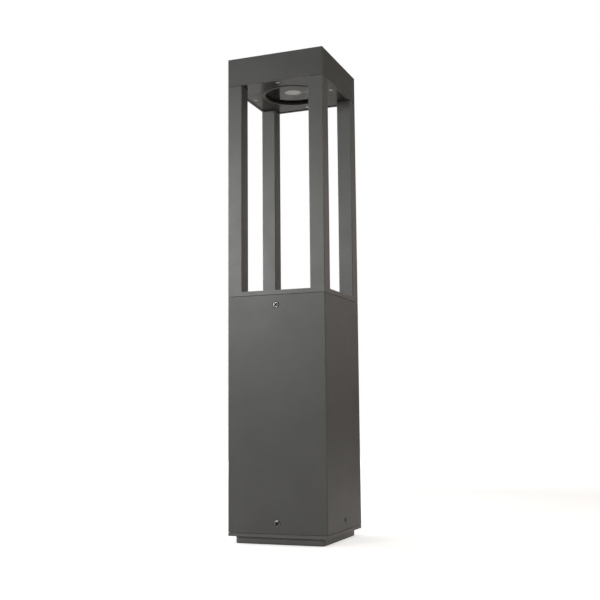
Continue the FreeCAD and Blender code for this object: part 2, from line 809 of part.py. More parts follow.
def make_lamp():
    """Lens, light-emitting board, their holder and the heat sink over them."""
    lens = Piece("lamp_lens")
    lens.turn([
        ("0", LENS_BOTTOM),
        ("lens_radius - 1", LENS_BOTTOM),
        ("lens_radius", f"{LENS_BOTTOM} + 1"),
        ("lens_radius", LENS_TOP),
        ("0", LENS_TOP),
    ])
    board = Piece("led_board")
    board.pad([square("lens_radius * 0.7")], "led_board_thickness", offset=LENS_TOP)
    holder = Piece("lens_holder")
    holder.pad(
        [Disc("0", "0", "holder_radius"), Disc("0", "0", LENS_HOLE)],
        f"{SINK_BOTTOM} - {BAFFLE_TOP}",
        offset=BAFFLE_TOP,
    )

    heat_sink = Piece("heat_sink")
    heat_sink.pad([square("sink_half")], "sink_base", offset=SINK_BOTTOM)
    heat_sink.soften("2", upright_at("sink_half"))
    fins_each_side = 5
    first = f"-{fins_each_side} * fin_pitch"
    end = "(sink_half - 2)"
    fin = heat_sink.pad(
        [rectangle(f"{first} - fin_thickness / 2", f"-{end}", f"{first} + fin_thickness / 2", end)],
        "fin_height",
        offset=SINK_FLOOR,
    )
    heat_sink.row([fin], 2 * fins_each_side + 1, f"{2 * fins_each_side} * fin_pitch")
    fin_top = f"({SINK_FLOOR} + fin_height)"
    wells = [
        heat_sink.pocket([Disc(*STANDOFF, "4")], "fin_height", offset=fin_top),
        heat_sink.pocket([Disc(*STANDOFF, M3_HOLE)], "sink_base", offset=SINK_FLOOR),
    ]
    heat_sink.around(wells, 4)
    face = f"({SINK_FLOOR} + {M3_PAN.rise})"
    upright_screws("heat_sink_screws", M3_PAN, [STANDOFF], face, length=12.0, up=-1, count=4)


# ----------------------------------------------------------------------------
# Cap
# ----------------------------------------------------------------------------
def make_cap():
    """The lid: a square shell with four screw bosses, and the seal it presses on the plate."""
    ledge = f"({PLATE_TOP} + gasket_thickness)"
    upper = f"({HALF} - cap_upper_wall)"
    piece = Piece("cap_shell")
    piece.pad([square(HALF)], "cap_height - cap_gap", offset=f"{CAP_BOTTOM} + cap_gap")
    piece.soften("edge_radius", upright_at(HALF))
    piece.soften("cap_top_edge", level_at("height"))
    mouth = square(f"{HALF} - cap_wall")
    piece.pocket([mouth], f"{ledge} - {CAP_BOTTOM}", forward=True, offset=CAP_BOTTOM)
    piece.pocket([square(upper)], f"{CAP_CEILING} - {ledge}", forward=True, offset=ledge)
    boss = Disc("cap_screw_offset", "0", "cap_boss_radius")
    bore = Disc("cap_screw_offset", "0", M3_THREAD)
    rib = rectangle("cap_screw_offset", "-1.25", f"{upper} + 1", "1.25")
    bosses = [
        piece.pad([boss], f"{CAP_CEILING} - {PLATE_TOP}", offset=PLATE_TOP),
        piece.pad([rib], f"{CAP_CEILING} - {ledge}", offset=ledge),
        piece.pocket([bore], "12", forward=True, offset=PLATE_TOP),
    ]
    piece.around(bosses, 4)

    seal = Piece("cap_seal")
    outer = f"{PLATE_HALF} - gasket_ease"
    seal.pad([square(outer), square(f"{upper} - 1")], "gasket_thickness", offset=PLATE_TOP)
    face = f"({PLATE_UNDERSIDE} + 0.1)"
    place = [("cap_screw_offset", "0")]
    upright_screws("cap_screws", M3_FLAT, place, face, length=12.0, up=1, flat=True, count=4)


# ----------------------------------------------------------------------------
# Driver tray
# ----------------------------------------------------------------------------
def lying_bores(piece, places, radius, depth, face):
    """Round holes that run from a front face towards the rear."""
    piece.pocket(
        [Disc(x, level, radius) for x, level in places], depth, plane="XZ_Plane", offset=f"-({face})"
    )


DRIVER_SCREWS = [("0", "driver_bottom - 3"), ("0", "driver_top + 3")]
BOX_LEVEL = "((box_bottom + box_top) / 2)"
BOX_SCREWS = [("8 - box_half", BOX_LEVEL), ("box_half - 8", BOX_LEVEL)]
LID_SCREWS = [
    (x, level)
    for x in ("pillar_inset - box_half", "box_half - pillar_inset")
    for level in ("box_bottom + pillar_inset", "box_top - pillar_inset")
]
LEAD_START = "(4 - driver_half)"    # where the lamp's lead leaves the driver, along X
LEAD_SOCKET = "4"                   # height of the driver's socket for that lead


def make_tray():
    """Folded sheet that hangs from the deck and carries the driver and the junction box."""
    piece = Piece("driver_tray")
    fold = [
        (TRAY_FACE, "tray_bottom"),
        ("tray_back", "tray_bottom"),
        ("tray_back", "column_top"),
        (TRAY_FRONT, "column_top"),
        (TRAY_FRONT, TRAY_FLANGE),
        (TRAY_FACE, TRAY_FLANGE),
    ]
    piece.pad([fold], "2 * tray_half", both_ways=True, plane="YZ_Plane")
    lead_notch = rectangle("-tray_half - 1", "driver_top + 8", "-12", TRAY_FLANGE)
    piece.pocket([lead_notch], "tray_sheet", plane="XZ_Plane", offset=f"-{TRAY_FACE}")
    lying_bores(piece, DRIVER_SCREWS + BOX_SCREWS, M3_HOLE, "tray_sheet", TRAY_FACE)
    for x, y in TRAY_SCREWS:
        piece.pocket([Disc(x, y, M4_HOLE)], "tray_sheet", offset="column_top")
    face = f"({TRAY_FLANGE} - {M4_PAN.rise})"
    upright_screws("tray_screws", M4_PAN, TRAY_SCREWS, face, length=8.0, up=1)


def make_driver():
    """Potted driver with an ear at each end, and the lead grommet in the deck."""
    front = f"{TRAY_FACE} - driver_depth"
    piece = Piece("lamp_driver")
    piece.pad(
        [rectangle("-driver_half", front, "driver_half", TRAY_FACE)],
        "driver_top - driver_bottom",
        offset="driver_bottom",
    )
    piece.soften("2.5", is_upright)
    ear_thickness, ear_reach = 3, 6
    ear_face = f"({TRAY_FACE} - {ear_thickness})"
    ear = rectangle("-driver_half / 2", ear_face, "driver_half / 2", TRAY_FACE)
    ear_length = f"driver_top - driver_bottom + 2 * {ear_reach}"
    piece.pad([ear], ear_length, offset=f"driver_bottom - {ear_reach}")
    piece.pad([Disc(LEAD_START, DRIVER_MIDDLE, "deck_lead_radius")], LEAD_SOCKET, offset="driver_top")
    lying_bores(piece, DRIVER_SCREWS, M3_HOLE, ear_thickness, ear_face)
    face = f"({ear_face} - {M3_PAN.rise})"
    lying_screws("driver_screws", M3_PAN, DRIVER_SCREWS, face, length=9.0)

    grommet = Piece("lead_grommet")
    bore = "(led_lead_radius + 0.2)"
    bottom, top = "(column_top - 1.5)", f"({DECK_TOP} + 2)"
    lip = "(deck_lead_radius + 0.8)"
    grommet.turn(
        [
            (bore, bottom),
            (lip, bottom),
            (lip, "column_top"),
            ("deck_lead_radius", "column_top"),
            ("deck_lead_radius", top),
            (bore, top),
        ],
        offset=f"-{LEAD}",
        axis=f"-{LEAD}",
    )


def make_junction_box():
    """Sealed box where the supply is joined on: shell, seal, lid, terminals and cable gland."""
    inner = rectangle(
        "box_wall - box_half", "box_bottom + box_wall", "box_half - box_wall", "box_top - box_wall"
    )
    box = Piece("junction_box")
    outline = rectangle("-box_half", BOX_FRONT, "box_half", TRAY_FACE)
    box.pad([outline], "box_top - box_bottom", offset="box_bottom")
    box.soften("2", is_upright)
    box.pocket([inner], "box_depth - box_wall", plane="XZ_Plane", offset=f"-{BOX_FRONT}")
    pillars = [Disc(x, level, "pillar_radius") for x, level in LID_SCREWS]
    for pillar in pillars:
        box.pad([pillar], "box_depth - 1", plane="XZ_Plane", offset=f"-({TRAY_FACE} - 1)")
    lying_bores(box, LID_SCREWS, M3_THREAD, "box_depth / 2", BOX_FRONT)
    box_back = f"({TRAY_FACE} - box_wall)"
    lying_bores(box, BOX_SCREWS, M3_HOLE, "box_wall", box_back)
    gland_hole = Disc("0", BOX_MIDDLE, "gland_hole_radius")
    box.pocket([gland_hole], "box_wall", forward=True, offset="box_bottom")
    lead_hole = Disc("0", DRIVER_MIDDLE, "input_lead_radius + 0.15")
    box.pocket([lead_hole], "box_wall", offset="box_top")
    face = f"({box_back} - {M3_PAN.rise})"
    lying_screws("junction_box_screws", M3_PAN, BOX_SCREWS, face, length=8.0)

    seal_thickness = 1
    rim = rectangle("0.4 - box_half", "box_bottom + 0.4", "box_half - 0.4", "box_top - 0.4")
    seal = Piece("box_lid_seal")
    seal.pad([rim, inner], seal_thickness, plane="XZ_Plane", offset=f"-{BOX_FRONT}")
    lid_back = f"({BOX_FRONT} - {seal_thickness})"
    lid_front = f"({lid_back} - lid_thickness)"
    lid = Piece("box_lid")
    outline = rectangle("-box_half", "box_bottom", "box_half", "box_top")
    lid.pad([outline], "lid_thickness", plane="XZ_Plane", offset=f"-{lid_back}")
    lying_bores(lid, LID_SCREWS, M3_HOLE, "lid_thickness", lid_front)
    face = f"({lid_front} - {M3_PAN.rise})"
    lying_screws("box_lid_screws", M3_PAN, LID_SCREWS, face, length=14.0)

    input_lead = Piece("input_lead")
    input_lead.pad(
        [Disc("0", DRIVER_MIDDLE, "input_lead_radius")],
        "driver_bottom - box_top + box_wall",
        offset="box_top - box_wall",
    )


def make_terminals():
    """Three-way terminal block on the junction box's back wall, with its clamping screws."""
    back = f"({TRAY_FACE} - box_wall)"
    front = f"({back} - terminal_depth)"
    top = f"({BOX_LEVEL} + terminal_half / 2)"
    ways = ["-terminal_pitch", "0", "terminal_pitch"]
    bore_radius, bore_depth = 2.6, 8
    screw_radius, screw_height, screw_sink = 2.4, 3, 3
    slot_half, slot_depth = 0.4, 1
    wire_radius, wire_depth = 2, 9
    block = Piece("terminal_block")
    outline = rectangle("-terminal_half", front, "terminal_half", back)
    block.pad([outline], "terminal_half", offset=f"{BOX_LEVEL} - terminal_half / 2")
    lying_bores(block, [(x, BOX_LEVEL) for x in ways], bore_radius, bore_depth, front)
    wire_ways = [Disc(x, f"{front} + {wire_depth}", wire_radius) for x in ways]
    block.pocket(wire_ways, "terminal_half", offset=top)

    face = f"({front} + {screw_sink})"
    screws = Piece("terminal_screws")
    for x in ways:
        screws.pad(
            [Disc(x, BOX_LEVEL, screw_radius)],
            screw_height,
            plane="XZ_Plane",
            offset=f"-({face} + {screw_height})",
        )
        slot = rectangle(
            f"{x} - {bore_radius}",
            f"{BOX_LEVEL} - {slot_half}",
            f"{x} + {bore_radius}",
            f"{BOX_LEVEL} + {slot_half}",
        )
        screws.pocket([slot], slot_depth, plane="XZ_Plane", offset=f"-{face}")


def make_gland():
    """Cable gland in the junction box's floor: body, lock nut, rubber seal and dome nut."""
    middle = ("0", BOX_MIDDLE)
    body_end = "(box_bottom - gland_reach)"
    nut_end = f"({body_end} - 4)"
    thread_length = "8"
    thread = "(gland_hole_radius - 0.1)"
    body = Piece("gland_body")
    body.pad(
        [hexagon(*middle, "gland_across")], "gland_flange", offset="box_bottom - gland_flange"
    )
    body.pad([Disc(*middle, thread)], thread_length, offset="box_bottom")
    body.pad(
        [Disc(*middle, "gland_barrel_radius")],
        "gland_reach - gland_flange",
        offset=body_end,
    )
    top = f"box_bottom + {thread_length}"
    bore = Disc(*middle, "gland_bore_radius")
    body.pocket([bore], f"gland_reach + {thread_length}", offset=top)

    lock = Piece("gland_lock_nut")
    lock.pad(
        [hexagon(*middle, "gland_across"), Disc(*middle, f"{thread} + thread_gap")],
        "4",
        offset="box_bottom + box_wall",
    )
    seal = Piece("gland_seal")
    seal_bottom = f"({nut_end} + 2)"
    seal.pad(
        [Disc(*middle, "gland_bore_radius - 0.1"), Disc(*middle, "supply_radius")],
        "11",
        offset=seal_bottom,
    )
    nut = Piece("gland_nut")
    nut.pad([hexagon(*middle, "gland_nut_across")], "gland_nut_height", offset=nut_end)
    mouth = Disc(*middle, "supply_radius + 0.7")
    nut.pocket([mouth], f"{seal_bottom} - {nut_end}", forward=True, offset=nut_end)
    threads = Disc(*middle, "gland_barrel_radius + thread_gap")
    nut.pocket([threads], "gland_nut_height - 2", offset=f"{nut_end} + gland_nut_height")
    nut.soften("1.5", level_at(nut_end), kind="Chamfer")


# ----------------------------------------------------------------------------
# The lamp's lead: straight runs joined by tangent arcs, swept by a round section
# ----------------------------------------------------------------------------
def bent_path(points, bend):
    """A wire through the points whose inner corners are rounded with the radius bend."""
    edges = []
    start = points[0]
    for before, corner, after in zip(points, points[1:], points[2:]):
        back, ahead = (before - corner).normalize(), (after - corner).normalize()
        half_turn = (math.pi - back.getAngle(ahead)) / 2
        enter = corner + back * (bend * math.tan(half_turn))
        leave = corner + ahead * (bend * math.tan(half_turn))
        reach = bend / math.cos(half_turn) - bend
        through = corner + (back + ahead).normalize() * reach
        edges.append(Part.LineSegment(start, enter).toShape())
        edges.append(Part.Arc(enter, through, leave).toShape())
        start = leave
    edges.append(Part.LineSegment(start, points[-1]).toShape())
    return Part.Wire(edges)


def make_lamp_lead():
    """From the driver, through the deck and the rear left post, to the lens holder."""
    corner = [f"-{LEAD}", LEAD]
    level_run = "(driver_top + 16)"
    end = "(holder_radius + 0.3) / sqrt(2)"
    route = [
        (LEAD_START, DRIVER_MIDDLE, f"driver_top + {LEAD_SOCKET}"),
        (LEAD_START, DRIVER_MIDDLE, level_run),
        (*corner, level_run),
        (*corner, LEAD_LEVEL),
        (f"-{end}", end, LEAD_LEVEL),
    ]
    points = [Vector(*map(number, point)) for point in route]
    path = bent_path(points, number("led_lead_bend"))
    radius = number("led_lead_radius")
    section = Part.Wire(Part.Circle(points[0], Vector(0, 0, 1), radius).toShape())
    tube = path.makePipeShell([section], True, False)
    expected = math.pi * radius**2 * path.Length
    if abs(tube.Volume / expected - 1) > 0.01:
        raise RuntimeError("the lamp lead's volume is not its section times its length")
    lead = doc.addObject("Part::Feature", "lamp_lead")
    lead.Label = "lamp_lead"
    lead.Shape = tube
    lead.Placement = Placement()
    nodes.append(lead)


def write_parts():
    """Check every object of the document, then write one file for each sub-part."""
    doc.recompute()
    for item in doc.Objects:
        if "Invalid" in item.State or "Error" in item.State:
            raise RuntimeError(f"{item.Label} failed: {item.State}")
    for node in nodes:
        shape = node.Shape
        if shape.isNull() or not shape.isValid() or not shape.Solids:
            raise RuntimeError(f"{node.Label} has no valid solid")
    os.makedirs("parts", exist_ok=True)
    for node in nodes:
        node.Shape.exportStep(f"parts/{node.Label}.step")
        print(f"{node.Label}: {len(node.Shape.Solids)} solid(s), {node.Shape.Volume / 1000:.2f} cm3")


make_foot()
make_cable_grommet()
make_earth_terminal()
make_column()
make_deck()
make_deck_gasket()
make_posts()
make_lamp_plate()
make_window()
make_lamp()
make_cap()
make_tray()
make_driver()
make_junction_box()
make_terminals()
make_gland()
make_lamp_lead()
write_parts()
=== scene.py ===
"""Looks of the square bollard light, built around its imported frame.

Frame: metres, +Z up, origin on the ground under the middle of the foot.
The front is -Y and the right-hand side is +X.
"""

import json
import math
from collections import namedtuple

import bmesh
import bpy
from mathutils import Matrix, Vector


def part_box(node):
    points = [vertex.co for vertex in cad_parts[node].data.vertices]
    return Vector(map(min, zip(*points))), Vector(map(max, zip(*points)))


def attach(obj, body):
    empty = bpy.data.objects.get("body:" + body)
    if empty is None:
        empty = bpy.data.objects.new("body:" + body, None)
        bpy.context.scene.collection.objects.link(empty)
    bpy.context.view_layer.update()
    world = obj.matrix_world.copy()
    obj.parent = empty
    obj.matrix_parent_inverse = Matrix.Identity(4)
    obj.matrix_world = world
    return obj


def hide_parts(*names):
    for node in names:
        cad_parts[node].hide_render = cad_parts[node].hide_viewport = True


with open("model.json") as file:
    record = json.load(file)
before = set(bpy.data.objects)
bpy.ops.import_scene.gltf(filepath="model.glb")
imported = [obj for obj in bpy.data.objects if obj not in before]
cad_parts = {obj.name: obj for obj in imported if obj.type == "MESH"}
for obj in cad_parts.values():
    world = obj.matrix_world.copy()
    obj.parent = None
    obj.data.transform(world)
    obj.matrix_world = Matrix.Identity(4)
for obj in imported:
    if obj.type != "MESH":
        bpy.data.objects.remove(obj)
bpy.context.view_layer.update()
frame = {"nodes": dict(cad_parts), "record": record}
nodes = frame["nodes"]
body_of = {
    node: body
    for body, members in frame["record"]["behaviour"]["bodies"].items()
    for node in members
}
slot_of = {name: node.material_slots[0].material.name.split(".")[0] for name, node in nodes.items()}

MM = 0.001
scene = bpy.context.scene


# ----------------------------------------------------------------------------
# Materials. Texture sizes are given as the width of one feature, in millimetres.
# ----------------------------------------------------------------------------
class Finish:
    """A principled material, and short ways to vary it over the surface."""

    def __init__(self, name, colour, roughness, metallic=0.0, **sockets):
        self.material = bpy.data.materials.new(name)
        self.material.use_nodes = True
        self.tree = self.material.node_tree
        self.shader = self.tree.nodes["Principled BSDF"]
        self.place = self.add("TexCoord").outputs["Object"]
        self.colour = colour
        self.shader.inputs["Base Color"].default_value = (*colour, 1)
        self.shader.inputs["Roughness"].default_value = roughness
        self.shader.inputs["Metallic"].default_value = metallic
        for socket, value in sockets.items():
            self.shader.inputs[socket.replace("_", " ")].default_value = value
        self.normal = None

    def add(self, kind, **settings):
        node = self.tree.nodes.new(f"ShaderNode{kind}")
        for key, value in settings.items():
            setattr(node, key, value)
        return node

    def link(self, output, socket):
        self.tree.links.new(output, socket)

    def noise(self, feature, detail=2.0, stretch=(1, 1, 1)):
        """Cloudy noise from 0 to 1; stretch makes its features longer along an axis."""
        mapping = self.add("Mapping")
        mapping.inputs["Scale"].default_value = tuple(1 / s for s in stretch)
        self.link(self.place, mapping.inputs["Vector"])
        texture = self.add("TexNoise")
        texture.inputs["Scale"].default_value = 1 / (feature * MM)
        texture.inputs["Detail"].default_value = detail
        self.link(mapping.outputs[0], texture.inputs["Vector"])
        return texture.outputs["Fac"]

    def cells(self, feature):
        """Distance to scattered points, for pebbled surfaces."""
        texture = self.add("TexVoronoi")
        texture.inputs["Scale"].default_value = 1 / (feature * MM)
        self.link(self.place, texture.inputs["Vector"])
        return texture.outputs["Distance"]

    def bands(self, feature, axis="X", rings=False):
        """Even waves across an axis, or rings about one."""
        texture = self.add("TexWave", wave_type="RINGS" if rings else "BANDS")
        setattr(texture, "rings_direction" if rings else "bands_direction", axis)
        texture.inputs["Scale"].default_value = math.pi / (10 * feature * MM)
        self.link(self.place, texture.inputs["Vector"])
        return texture.outputs["Fac"]

    def span(self, value, low, high, start=0.3, end=0.7):
        """Stretch start..end of a value to low..high."""
        node = self.add("MapRange")
        for socket, number in zip(("From Min", "From Max", "To Min", "To Max"), (start, end, low, high)):
            node.inputs[socket].default_value = number
        self.link(value, node.inputs["Value"])
        return node.outputs["Result"]

    def join(self, operation, first, second):
        """The sum, product or other Math result of two values or numbers."""
        node = self.add("Math", operation=operation)
        for socket, value in zip(node.inputs, (first, second)):
            if isinstance(value, (int, float)):
                socket.default_value = value
            else:
                self.link(value, socket)
        return node.outputs[0]

    def vary_colour(self, value, amount, start=0.3, end=0.7):
        """Lighten and darken the colour by a share of itself."""
        low = tuple(c * (1 - amount) for c in self.colour)
        high = tuple(c * (1 + amount) for c in self.colour)
        self.blend_colour(self.span(value, 0, 1, start, end), low, high)

    def blend_colour(self, factor, low, high):
        """Run the colour from low to high as the factor goes from 0 to 1."""
        mix = self.add("Mix", data_type="RGBA")
        self.link(factor, mix.inputs["Factor"])
        first, second = (socket for socket in mix.inputs if socket.type == "RGBA")
        first.default_value = (*low, 1)
        second.default_value = (*high, 1)
        result = next(socket for socket in mix.outputs if socket.type == "RGBA")
        self.link(result, self.shader.inputs["Base Color"])

    def vary_roughness(self, value, low, high):
        """Run the roughness from low to high over the middle of a value's range."""
        self.link(self.span(value, low, high), self.shader.inputs["Roughness"])

    def bump(self, height, depth):
        """Relief with its depth in millimetres; later calls add to earlier ones."""
        node = self.add("Bump")
        node.inputs["Distance"].default_value = depth * MM
        node.inputs["Strength"].default_value = 1.0
        self.link(height, node.inputs["Height"])
        if self.normal:
            self.link(self.normal, node.inputs["Normal"])
        self.normal = node.outputs["Normal"]
        self.link(self.normal, self.shader.inputs["Normal"])


def powder_coat(name, colour, roughness=0.38, **sockets):
    """Fine-textured satin powder paint with faint clouds, rubbed smoother in places."""
    finish = Finish(name, colour, roughness, **sockets)
    grain = finish.noise(0.9, 3)
    clouds = finish.noise(38, 4)
    mottled = finish.join("ADD", finish.join("MULTIPLY", grain, 0.6), finish.join("MULTIPLY", clouds, 0.4))
    finish.vary_colour(mottled, 0.07, 0.35, 0.65)
    finish.vary_roughness(clouds, roughness - 0.03, roughness + 0.04)
    finish.bump(finish.noise(0.55, 2), 0.035)
    finish.bump(finish.noise(6, 1), 0.02)
    return finish.material


def bezel_finish(edge):
    """Satin paint outside and dull black inside, the two meeting at a radius in millimetres."""
    finish = Finish("bezel_satin", (0.14, 0.14, 0.135), 0.34)
    flat = finish.add("Mapping")
    flat.inputs["Scale"].default_value = (1, 1, 0)
    finish.link(finish.place, flat.inputs["Vector"])
    reach = finish.add("VectorMath", operation="LENGTH")
    finish.link(flat.outputs[0], reach.inputs[0])
    fade, dull_black = 0.25, (0.04, 0.036, 0.033)
    outside = finish.span(reach.outputs["Value"], 0, 1, (edge - fade) * MM, (edge + fade) * MM)
    speckle = finish.span(finish.noise(0.9, 3), 0.93, 1.07)
    finish.blend_colour(finish.join("MULTIPLY", outside, speckle), dull_black, finish.colour)
    finish.vary_roughness(finish.noise(7, 3), 0.3, 0.38)
    finish.bump(finish.noise(0.55, 2), 0.02)
    return finish.material


def bare_metal(name, colour, roughness, grain=(0.4, (1, 1, 1)), depth=0.01):
    """Metal with fine scratches along one direction and uneven gloss."""
    finish = Finish(name, colour, roughness, 1.0)
    width, stretch = grain
    scratches = finish.noise(width, 3, stretch)
    stains = finish.noise(9, 4)
    finish.vary_colour(stains, 0.12)
    finish.vary_roughness(scratches, roughness - 0.07, roughness + 0.08)
    finish.bump(scratches, depth)
    return finish.material


def black_steel(face):
    """Oxide-blackened steel whose head faces, this far out in millimetres, are lightened: partly rubbed
    wear, partly a painted highlight.
    """
    finish = Finish("black_steel", (0.035, 0.035, 0.036), 0.38, 0.9)
    apart = finish.add("VectorMath", operation="ABSOLUTE")
    finish.link(finish.place, apart.inputs[0])
    sides = finish.add("SeparateXYZ")
    finish.link(apart.outputs[0], sides.inputs[0])
    reach = finish.join("MAXIMUM", sides.outputs["X"], sides.outputs["Y"])
    dark_below, bright_above, wear_and_highlight_colour = face - 0.34, face - 0.2, (0.29, 0.285, 0.275)
    outside = finish.span(reach, 0, 1, dark_below * MM, bright_above * MM)
    rubbed = finish.noise(1.1, 4)
    # Rubbed wear and a painted highlight on the head faces; the recesses keep the black.
    wear_and_highlight = finish.join("MULTIPLY", outside, finish.span(rubbed, 0.3, 1, 0.42, 0.6))
    finish.blend_colour(wear_and_highlight, finish.colour, wear_and_highlight_colour)
    finish.vary_roughness(rubbed, 0.46, 0.28)
    finish.bump(finish.noise(0.3, 2), 0.008)
    return finish.material


def moulded(name, colour, roughness, grain=0.5, depth=0.02, **sockets):
    """Moulded plastic with a spark-eroded texture."""
    finish = Finish(name, colour, roughness, **sockets)
    finish.vary_colour(finish.noise(14, 3), 0.05)
    finish.vary_roughness(finish.noise(5, 3), roughness - 0.05, roughness + 0.07)
    finish.bump(finish.cells(grain), depth)
    return finish.material


def rubber():
    """Matt rubber with dust in its pores."""
    finish = Finish("black_rubber", (0.022, 0.022, 0.023), 0.7)
    dust = finish.noise(2.2, 5)
    finish.blend_colour(finish.span(dust, 0, 1, 0.45, 0.8), finish.colour, (0.075, 0.072, 0.068))
    finish.vary_roughness(dust, 0.62, 0.85)
    finish.bump(finish.noise(0.4, 3), 0.03)
    return finish.material


def lens_finish():
    """Milky silicone lens with fine rings moulded in its face."""
    finish = Finish("lens", (0.80, 0.775, 0.72), 0.3, Subsurface_Weight=0.3, Subsurface_Scale=2 * MM)
    finish.shader.inputs["Subsurface Radius"].default_value = (1.0, 0.9, 0.8)
    finish.vary_colour(finish.noise(5, 3), 0.04)
    finish.vary_roughness(finish.noise(3, 3), 0.22, 0.4)
    finish.bump(finish.bands(0.8, "Z", rings=True), 0.05)
    return finish.material


def glass_finish():
    """Clear float glass with a trace of wiping on it."""
    finish = Finish(
        "clear_glass", (0.96, 0.985, 0.975), 0.02, Transmission_Weight=1.0, IOR=1.5, Specular_IOR_Level=0.27
    )
    finish.vary_roughness(finish.noise(16, 5, (3, 1, 1)), 0.0, 0.03)
    finish.vary_colour(finish.noise(30, 2), 0.01)
    return finish.material


def phosphor_finish():
    """Yellow phosphor over the diodes."""
    finish = Finish("phosphor", (0.86, 0.62, 0.10), 0.45)
    finish.vary_colour(finish.noise(1.2, 3), 0.1)
    finish.bump(finish.noise(0.5, 3), 0.03)
    return finish.material


def sheath_finish():
    """Braided glass-fibre sleeving over the leads."""
    finish = Finish("lead_sheath", (0.62, 0.60, 0.55), 0.6)
    weave = finish.join("MULTIPLY", finish.bands(0.7, "DIAGONAL"), finish.bands(0.7, "Z"))
    finish.vary_colour(weave, 0.18, 0, 1)
    finish.bump(weave, 0.12)
    return finish.material


ANTHRACITE = (0.0945, 0.0945, 0.0905)
column_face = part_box("column_tube")[1].x / MM
finishes = {
    "powder_coat": powder_coat("powder_coat", ANTHRACITE),
    "raw_aluminium": bare_metal("raw_aluminium", (0.50, 0.505, 0.51), 0.40, (0.25, (1, 90, 1)), 0.02),
    "black_anodised": powder_coat("black_anodised", (0.012, 0.012, 0.013), 0.5),
    "black_steel": black_steel(column_face),
    "stainless": bare_metal("stainless", (0.76, 0.75, 0.73), 0.28),
    "zinc_steel": bare_metal("zinc_steel", (0.60, 0.63, 0.66), 0.32),
    "brass": bare_metal("brass", (0.70, 0.50, 0.22), 0.3),
    "black_rubber": rubber(),
    "black_plastic": moulded("black_plastic", (0.025, 0.025, 0.027), 0.42),
    "grey_plastic": moulded("grey_plastic", (0.30, 0.32, 0.33), 0.45),
    "white_plastic": moulded("white_plastic", (0.74, 0.74, 0.72), 0.4),
    "lens": lens_finish(),
    "phosphor": phosphor_finish(),
    "clear_glass": glass_finish(),
    "lead_sheath": sheath_finish(),
}
# The posts and the deck get a lighter copy of the same powder, and the foot casting a lighter one still.
# This is painted light: on the posts it stands for the key's highlight, and on the casting it offsets the
# overhang's shade.
# The lamp plate gets a smoother, darker and warmer copy that mirrors the posts; its darker, warmer colour
# is painted shade on the underside.
extrusion_paint_lit = powder_coat("powder_coat_extrusion_lit", tuple(1.3 * c for c in ANTHRACITE), 0.36)
casting_paint_lit = powder_coat("powder_coat_casting_lit", tuple(1.38 * c for c in ANTHRACITE), 0.4)
plate_paint_shaded = powder_coat("powder_coat_plate_shaded", (0.037, 0.034, 0.030), 0.24, Specular_IOR_Level=0.65)

POSTS = ("post_front_left", "post_front_right", "post_rear_left", "post_rear_right")
LIT_AND_SHADED_PAINTS = dict.fromkeys([*POSTS, "deck_plate"], extrusion_paint_lit)
LIT_AND_SHADED_PAINTS.update(foot_casting=casting_paint_lit, lamp_plate=plate_paint_shaded)

# Width in millimetres of the broken edges; the rest have the plain width.
EDGE_WIDTHS = {"column_tube": 0.35, "foot_casting": 0.35, "deck_plate": 0.35, "cap_shell": 0.35}
PLAIN_EDGE = 0.2


def finish_cad_nodes():
    """Give every CAD node its finish, and break its machined edges."""
    for name, node in nodes.items():
        # Posts, deck and foot casting take the lighter copies of the paint (painted light), the lamp plate
        # the darker one (painted shade).
        node.material_slots[0].material = LIT_AND_SHADED_PAINTS.get(name, finishes[slot_of[name]])
        weld = node.modifiers.new("weld", "WELD")
        weld.merge_threshold = 0.001 * MM
        edges = node.modifiers.new("edges", "BEVEL")
        edges.width = EDGE_WIDTHS.get(name, PLAIN_EDGE) * MM
        edges.segments = 2
        edges.limit_method = "ANGLE"
        edges.angle_limit = math.radians(40)
        normals = node.modifiers.new("normals", "WEIGHTED_NORMAL")
        normals.keep_sharp = True


# ----------------------------------------------------------------------------
# Mesh building
# ----------------------------------------------------------------------------
def solids_of(name):
    """The points of each separate solid in a CAD node."""
    shape = bmesh.new()
    shape.from_mesh(nodes[name].data)
    bmesh.ops.remove_doubles(shape, verts=shape.verts, dist=0.001 * MM)
    solids = []
    for seed in shape.verts:
        if seed.tag:
            continue
        seed.tag = True
        waiting, points = [seed], []
        while waiting:
            vertex = waiting.pop()
            points.append(vertex.co.copy())
            for edge in vertex.link_edges:
                other = edge.other_vert(vertex)
                if not other.tag:
                    other.tag = True
                    waiting.append(other)
        solids.append(points)
    shape.free()
    return solids


def corners_of(points):
    """Lowest and highest corner of some points."""
    return tuple(Vector([pick(values) for values in zip(*points)]) for pick in (min, max))


def skin(rings, closed=False):
    """A mesh over rings of points that all have the same count; open ends are capped."""
    shape = bmesh.new()
    loops = [[shape.verts.new(point) for point in ring] for ring in rings]
    pairs = list(zip(loops, loops[1:])) + ([(loops[-1], loops[0])] if closed else [])
    for below, above in pairs:
        for i, vertex in enumerate(below):
            before = i - 1
            shape.faces.new((below[before], vertex, above[i], above[before]))
    if not closed:
        shape.faces.new(reversed(loops[0]))
        shape.faces.new(loops[-1])
    bmesh.ops.recalc_face_normals(shape, faces=shape.faces)
    mesh = bpy.data.meshes.new("skin")
    shape.to_mesh(mesh)
    shape.free()
    return mesh


def turned(profile, segments=48, closed=False):
    """A lathed mesh from (radius, height) points, where a radius may depend on the angle."""
    rings = []
    for radius, height in profile:
        ring = []
        for step in range(segments):
            angle = 2 * math.pi * step / segments
            reach = radius(angle) if callable(radius) else radius
            level = height(angle) if callable(height) else height
            ring.append((reach * math.cos(angle), reach * math.sin(angle), level))
        rings.append(ring)
    return skin(rings, closed)


